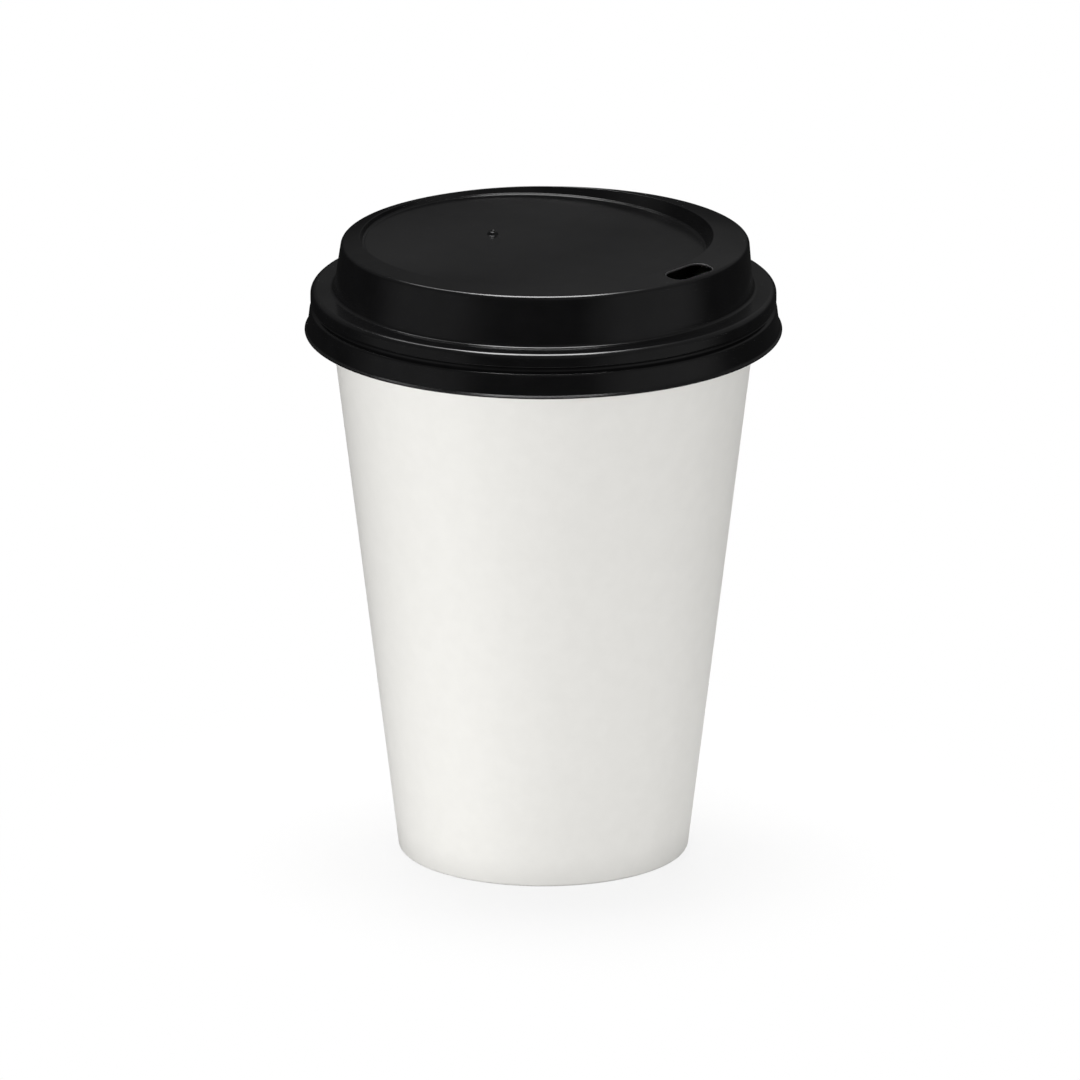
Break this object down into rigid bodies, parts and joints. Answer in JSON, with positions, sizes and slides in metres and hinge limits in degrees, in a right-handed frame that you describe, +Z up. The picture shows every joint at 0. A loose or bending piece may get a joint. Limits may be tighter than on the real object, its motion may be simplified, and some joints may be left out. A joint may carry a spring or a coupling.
{
  "type": "paper coffee cup with lid",
  "caption": "Tapered single-wall paper cup with a rolled rim, closed by a black push-on dome lid with a sip hole and a vent.",
  "frame": {"origin": "centre of the foot, on the surface that the cup stands on", "axes": "+Z up the cup's axis, -Y towards the sip hole, +Y towards the vent and the wall's lapped seam"},
  "size_m": [0.0948, 0.0948, 0.1263],
  "materials": {
    "wall_paper": "smooth white coated cupstock, faint fibre mottle, soft sheen",
    "bottom_paper": "smooth white coated cupstock, faint fibre mottle",
    "lid_plastic": "black thermoformed sheet, semi-gloss, softly uneven"
  },
  "bodies": {
    "cup": {"cup_wall": "wall_paper", "cup_bottom": "bottom_paper"},
    "lid": {"lid": "lid_plastic"}
  },
  "joints": [
    {"name": "lid_lift", "type": "slide", "parent": "cup", "child": "lid", "axis": [0, 0, 1], "range_m": [0, 0.04]}
  ]
}
